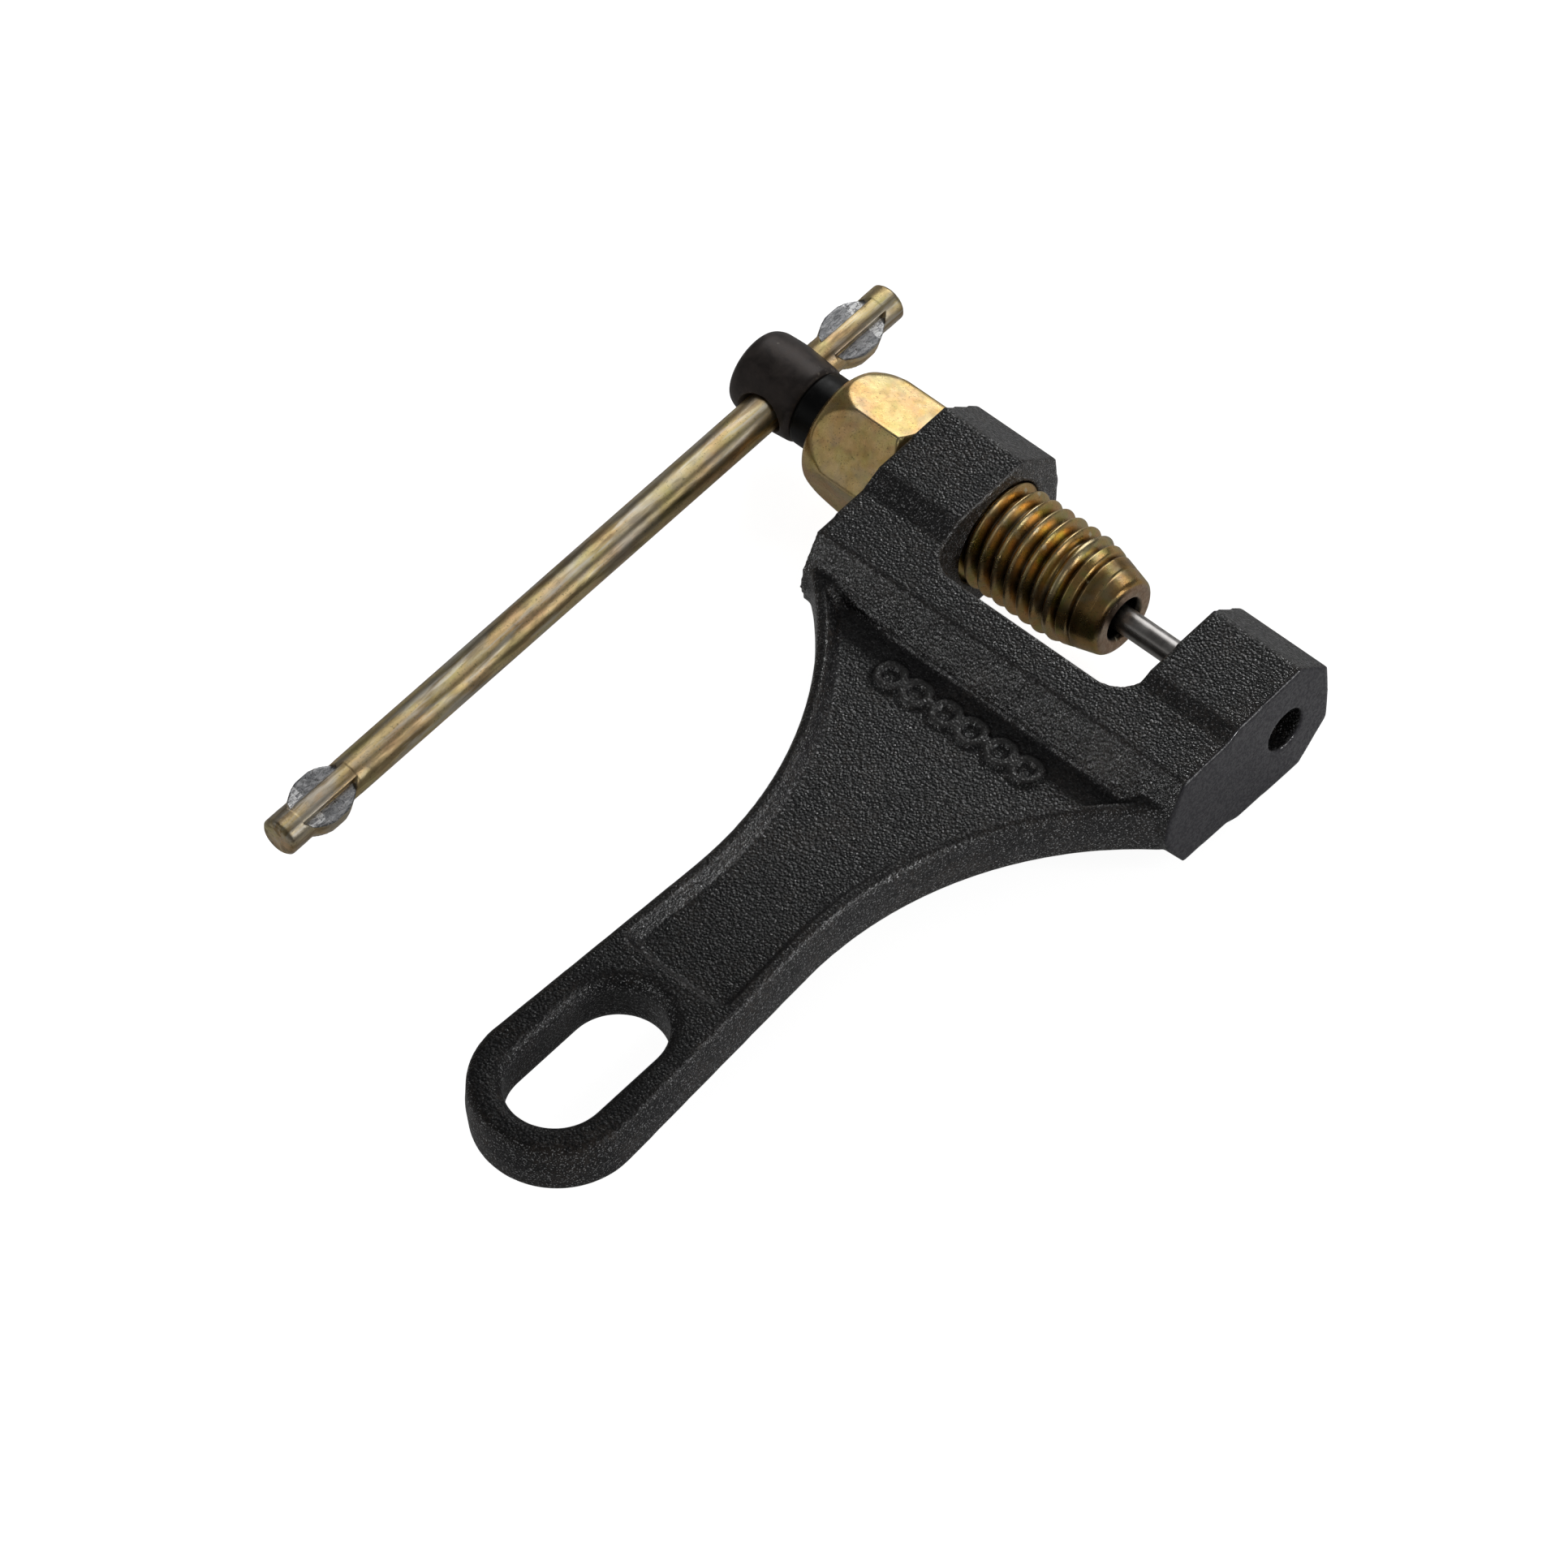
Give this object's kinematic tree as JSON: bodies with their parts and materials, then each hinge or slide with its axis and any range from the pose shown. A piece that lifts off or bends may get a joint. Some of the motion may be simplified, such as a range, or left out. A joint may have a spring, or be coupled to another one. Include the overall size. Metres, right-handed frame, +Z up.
{
  "type": "chain tool",
  "caption": "Cast C-frame chain breaker with a flat slotted handle, a hollow clamp bolt, a pusher screw with ejector pin and a sliding tommy bar.",
  "frame": {"origin": "where the screw axis meets the anvil face that the chain bears on", "axes": "+X along the screw axis into the anvil, handle towards -Y, +Z up out of the flat side; the tool lies flat with its parting plane at Z = 0"},
  "size_m": [0.0829, 0.1223, 0.019],
  "materials": {
    "frame_cast": "satin",
    "zinc_bolt": "gloss",
    "ring_rubber": "gloss",
    "screw_black": "satin",
    "pin_steel": "satin",
    "zinc_bar": "gloss"
  },
  "bodies": {
    "frame_body": {"frame": "frame_cast"},
    "ring_body": {"stop_ring": "ring_rubber"},
    "bolt_body": {"clamp_bolt": "zinc_bolt"},
    "pin_body": {"ejector_pin": "pin_steel"},
    "screw_body": {"pusher_screw": "screw_black"},
    "bar_body": {"tommy_bar": "zinc_bar"}
  },
  "joints": [
    {"name": "bolt_travel", "type": "slide", "parent": "frame_body", "child": "ring_body", "axis": [1, 0, 0], "range_m": [-0.02, 0]},
    {"name": "bolt_turn", "type": "hinge", "parent": "ring_body", "child": "bolt_body", "pos_m": [-0.045, 0, 0], "axis": [1, 0, 0], "range_deg": [-3600, 0]},
    {"name": "pin_travel", "type": "slide", "parent": "bolt_body", "child": "pin_body", "axis": [1, 0, 0], "range_m": [-0.02, 0]},
    {"name": "screw_turn", "type": "hinge", "parent": "pin_body", "child": "screw_body", "pos_m": [-0.055, 0, 0], "axis": [1, 0, 0], "range_deg": [-5760, 0]},
    {"name": "bar_slide", "type": "slide", "parent": "screw_body", "child": "bar_body", "axis": [0, 1, 0], "range_m": [-0.002, 0.072]}
  ],
  "couplings": [
    {"joint": "bolt_turn", "follows": "bolt_travel", "rad_per_m": 3141.6},
    {"joint": "screw_turn", "follows": "pin_travel", "rad_per_m": 5026.5}
  ]
}
